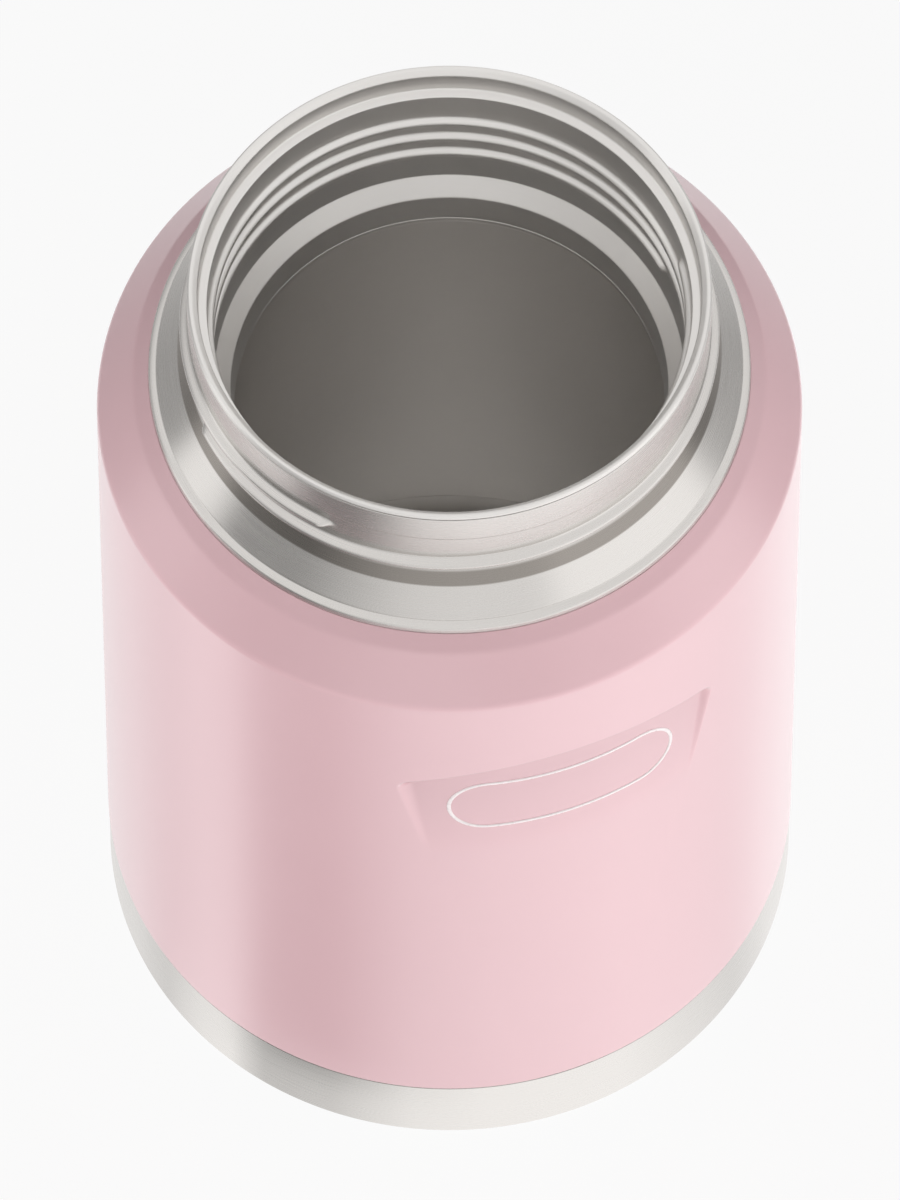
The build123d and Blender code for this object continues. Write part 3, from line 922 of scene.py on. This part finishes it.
class FOODJAR_OT_neck(bpy.types.Operator):
    """Bare steel collar and neck with the outer thread"""

    bl_idname = "foodjar.neck"
    bl_label = "Threaded neck"

    def execute(self, context):
        jar = context.scene.food_jar
        body, neck = jar.body, jar.neck
        lip, base = body.lip_radius, body.lip_height
        waist = base + 6.0 * MM, base + 8.3 * MM
        clear = base + 7.9 * MM  # between the groove and the thread
        top = RIM_TOP[2] - neck.wall * math.sqrt(2)
        skin = [
            (lip, base),  # where the paint ends
            (lip - 0.08 * MM, base + 0.9 * MM),
            (lip - 0.75 * MM, base + 1.37 * MM),  # over the lip
            (lip - 1.37 * MM, base + 2.2 * MM),
            (lip - 4.2 * MM, waist[0]),  # up the cone
            (lip - 5.4 * MM, base + 8.2 * MM),  # in to the waist
            (neck.radius, base + 9.3 * MM),
            (neck.radius, neck.band_height - 0.3 * MM),  # the threaded wall
            (neck.band_radius, neck.band_height),
            (neck.band_radius, top),  # the plain band
        ]
        radii = [0.4 * MM, 0.3 * MM, 0.0, 0.7 * MM, 1.2 * MM, 1.2 * MM, 0.12 * MM, 0.12 * MM]
        lip_spacings = [0.3 * MM, 0.3 * MM, 0.08 * MM]
        spacings = [*lip_spacings, 0.8 * MM, 0.25 * MM, 0.12 * MM, 0.1 * MM, 0.12 * MM, 1 * MM]
        facet = unit(np.array([lip - body.facet_radius, base - body.facet_height]))
        first = np.array([-facet[1], facet[0]]) * neck.wall  # square to the shoulder's facet
        last = np.array([-neck.wall, -neck.wall])
        outline, on_skin = sheet_outline(skin, neck.wall, radii, spacings, first, last)

        def rolled(radius, angle, height):
            """The outline's radius, or R + relief where the thread stands out further."""
            outward = neck.radius + thread_relief(angle, height, neck, neck.radius)
            return np.maximum(radius, outward - SKIN_GAP)

        def threaded(radius, angle, height):
            """The groove above the lip has the section depth * exp(-((height - middle) / reach) ^ 2)."""
            groove = neck.groove * np.exp(-(((height - base - GROOVE_UP) / GROOVE_REACH) ** 2))
            on_wall = (height > clear) & (height < neck.band_height)
            return np.where(on_wall, rolled(radius, angle, height), radius - groove)

        tones = jar.colours.steel, jar.colours.steel_deep
        # the waist under the thread is painted dark as shade, for the shadow that falls under the thread
        material = brushed_steel("brushed_steel_neck", -1.0, *tones, dull=waist)
        angles = round_angles(jar.segments)
        piece = turned("threaded_neck", outline, angles, material, "steel", on_skin, threaded)
        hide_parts("neck_collar")
        return {"FINISHED"}


class FOODJAR_OT_mouth(bpy.types.Operator):
    """Liner neck: flared rim, inner thread, seal bore and sealing step"""

    bl_idname = "foodjar.mouth"
    bl_label = "Threaded mouth"

    def execute(self, context):
        jar = context.scene.food_jar
        mouth, outside = jar.mouth, jar.neck.band_radius
        rim = RIM_TOP[2]
        roll = 0.35 * MM
        skin = [
            (outside, rim - roll),
            (outside - 0.3 * MM, rim),
            (outside - 0.7 * MM, rim - 0.08 * MM),  # over the rolled edge
            (mouth.radius + 0.03 * MM, rim - 0.8 * MM),  # down the flare
            (mouth.radius, rim - mouth.bevel),
            (mouth.radius, rim - 4.0 * MM),  # the plain band
            (mouth.thread_radius, rim - 4.4 * MM),
            (mouth.thread_radius, rim - 20.4 * MM),  # the threaded wall
            (mouth.seal_radius, rim - 24.4 * MM),
            (mouth.seal_radius - 2.4 * MM, rim - 26.9 * MM),  # the sealing step
            (mouth.bore, rim - MOUTH_DEPTH),
        ]
        edge_radii = [0.2 * MM, 0.8 * MM, 0.4 * MM, 0.5 * MM]
        radii = [*edge_radii, 0.4 * MM, 0.25 * MM, 1.5 * MM, 0.4 * MM, 0.5 * MM]
        edge_spacings = [1 * MM, 0.2 * MM, 0.2 * MM, 0.3 * MM]
        spacings = [*edge_spacings, 1 * MM, 0.4 * MM, 0.25 * MM, 0.8 * MM, 0.8 * MM, 1 * MM]
        first = np.array([0.0, roll - mouth.wall * math.sqrt(2)])  # flush with the neck's last point
        last = np.array([mouth.wall, 0.0])
        outline, on_skin = sheet_outline(skin, mouth.wall, radii, spacings, first, last)
        high, low = rim - 5.5 * MM, rim - 21.2 * MM  # the thread lies between them

        def threaded(radius, angle, height):
            """The outline's radius, or R - relief where the thread stands in further."""
            inward = mouth.thread_radius - thread_relief(angle, height, mouth, mouth.thread_radius)
            on_wall = (height < high) & (height > low)
            return np.where(on_wall, np.minimum(radius, inward + SKIN_GAP), radius)

        tones = jar.colours.inner, jar.colours.inner_deep
        material = brushed_steel("brushed_steel_mouth", 1.0, *tones, 0.38, metallic=0.9)
        angles = round_angles(jar.segments)
        piece = turned("threaded_mouth", outline, angles, material, "steel", on_skin, threaded)
        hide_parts("liner_neck")
        return {"FINISHED"}


class FOODJAR_OT_vessel(bpy.types.Operator):
    """Inner vessel: drawn wall and welded bottom"""

    bl_idname = "foodjar.vessel"
    bl_label = "Inner vessel"

    def execute(self, context):
        jar = context.scene.food_jar
        vessel, mouth = jar.vessel, jar.mouth
        top = RIM_TOP[2] - MOUTH_DEPTH
        skin = [
            (mouth.bore, top),
            (mouth.bore, top - 1.2 * MM),
            (vessel.radius, top - 14.0 * MM),
            (vessel.radius, vessel.weld),
        ]
        spacings = [1 * MM, 2 * MM, 3 * MM]
        outline, _ = sheet_outline(skin, vessel.wall, [1.8 * MM, 10.0 * MM], spacings)
        tones = jar.colours.inner, jar.colours.inner_deep
        wall = brushed_steel("brushed_steel_vessel", -1.0, *tones, 0.34)
        piece = turned("vessel_wall", outline, round_angles(VESSEL_SIDES), wall, "steel")
        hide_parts("liner_body")

        under = vessel.floor - vessel.wall
        outside = vessel.radius + vessel.wall
        corners = [
            (0.0, under),
            (outside, under),
            (outside, vessel.weld),
            (vessel.radius, vessel.weld),
            (vessel.radius, vessel.floor),
            (0.0, vessel.floor),
        ]
        edge = vessel.wall * MOST_OF_WALL
        radii = [0.0, vessel.floor_round + vessel.wall, edge, edge, vessel.floor_round, 0.0]
        spacings = [3 * MM, 1 * MM, UNDIVIDED, 1 * MM, 2 * MM]
        path, _ = rounded_outline(np.array(corners), radii, spacings, closed=False)
        floor = brushed_steel("brushed_steel_vessel_floor", 1.0, *tones, 0.34)
        piece = dished("vessel_floor", path, round_angles(VESSEL_SIDES), floor, "steel")
        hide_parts("liner_bottom")
        return {"FINISHED"}


class FOODJAR_OT_foot(bpy.types.Operator):
    """Bare steel foot band, bottom and cover disc"""

    bl_idname = "foodjar.foot"
    bl_label = "Foot"

    def execute(self, context):
        jar = context.scene.food_jar
        foot, body = jar.foot, jar.body
        inside = body.radius - body.wall
        dimple = foot.rise + 2.2 * MM
        skin = [
            (1.5 * MM, dimple),  # the evacuation hole
            (5.5 * MM, dimple),
            (8.0 * MM, foot.rise),
            (foot.recess, foot.rise),
            (foot.recess + 1.2 * MM, 0.0),
            (foot.radius, 0.0),
            (foot.radius, foot.band),
            (inside, body.bottom),
            (inside, body.bottom + 4.7 * MM),  # the lap inside the body
        ]
        radii = [0.6 * MM, 0.6 * MM, 1 * MM, 1 * MM, foot.rounding, 0.15 * MM, 0.1 * MM]
        spacings = [1 * MM, 1 * MM, 3 * MM, 1 * MM, 1 * MM, 1.5 * MM, 0.2 * MM, 2 * MM]
        outline, _ = sheet_outline(skin, foot.wall, radii, spacings)
        tones = jar.colours.steel, jar.colours.steel_deep
        seam = foot.band - 0.12 * MM, foot.band + 0.8 * MM  # a band painted dark as the shadow of the gap under the paint
        material = brushed_steel("brushed_steel_foot", 1.0, *tones, dull=seam)
        piece = turned("foot_cup", outline, round_angles(FOOT_SIDES), material, "steel")
        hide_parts("base_cup")

        (_, _, low), (radius, _, high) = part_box("base_disc")
        corners = np.array([(0.0, low), (radius, low), (radius, high), (0.0, high)])
        radii = [0.0, 0.1 * MM, 0.1 * MM, 0.0]
        path, _ = rounded_outline(corners, radii, [3 * MM, UNDIVIDED, 3 * MM], closed=False)
        disc = brushed_steel("brushed_steel_disc", 1.0, *tones, 0.24)
        piece = dished("cover_disc", path, round_angles(VESSEL_SIDES), disc, "steel")
        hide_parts("base_disc")
        return {"FINISHED"}


class FOODJAR_OT_hidden(bpy.types.Operator):
    """Finishes of the pieces that are sealed inside the walls"""

    bl_idname = "foodjar.hidden"
    bl_label = "Sealed pieces"

    def execute(self, context):
        colours = context.scene.food_jar.colours
        tones = colours.steel, colours.steel_deep
        finishes = {
            "copper_shield": crumpled_foil("crumpled_copper_foil", colours),
            "getter_pellet": sintered_metal("sintered_getter", colours),
            "getter_holder": brushed_steel("brushed_steel_clip", 1.0, *tones, 0.34),
            "seal_bead": solder_glass("dark_solder_glass", colours),
        }
        for node, finish in finishes.items():
            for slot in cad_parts[node].material_slots:
                slot.material = finish
        return {"FINISHED"}


class FOODJAR_PT_panel(bpy.types.Panel):
    """Lists the jar's operators"""

    bl_idname = "FOODJAR_PT_panel"
    bl_label = "Food Jar"
    bl_space_type = "VIEW_3D"
    bl_region_type = "UI"
    bl_category = "Food Jar"

    def draw(self, context):
        for step in STEPS:
            self.layout.operator(step.bl_idname)


STEPS = [
    FOODJAR_OT_stage,
    FOODJAR_OT_body,
    FOODJAR_OT_badge_ring,
    FOODJAR_OT_neck,
    FOODJAR_OT_mouth,
    FOODJAR_OT_vessel,
    FOODJAR_OT_foot,
    FOODJAR_OT_hidden,
]
GROUPS = [
    BodySizes,
    BadgeSizes,
    NeckSizes,
    MouthSizes,
    VesselSizes,
    FootSizes,
    JarColours,
    StudioSettings,
    FoodJar,
]


def register():
    for item in [*GROUPS, *STEPS, FOODJAR_PT_panel]:
        bpy.utils.register_class(item)
    bpy.types.Scene.food_jar = PointerProperty(type=FoodJar)


def unregister():
    del bpy.types.Scene.food_jar
    for item in reversed([*GROUPS, *STEPS, FOODJAR_PT_panel]):
        bpy.utils.unregister_class(item)


def main():
    register()
    bpy.context.scene.view_settings.view_transform = "Standard"
    for step in STEPS:
        family, action = step.bl_idname.split(".")
        getattr(getattr(bpy.ops, family), action)()


if __name__ == "__main__":
    main()
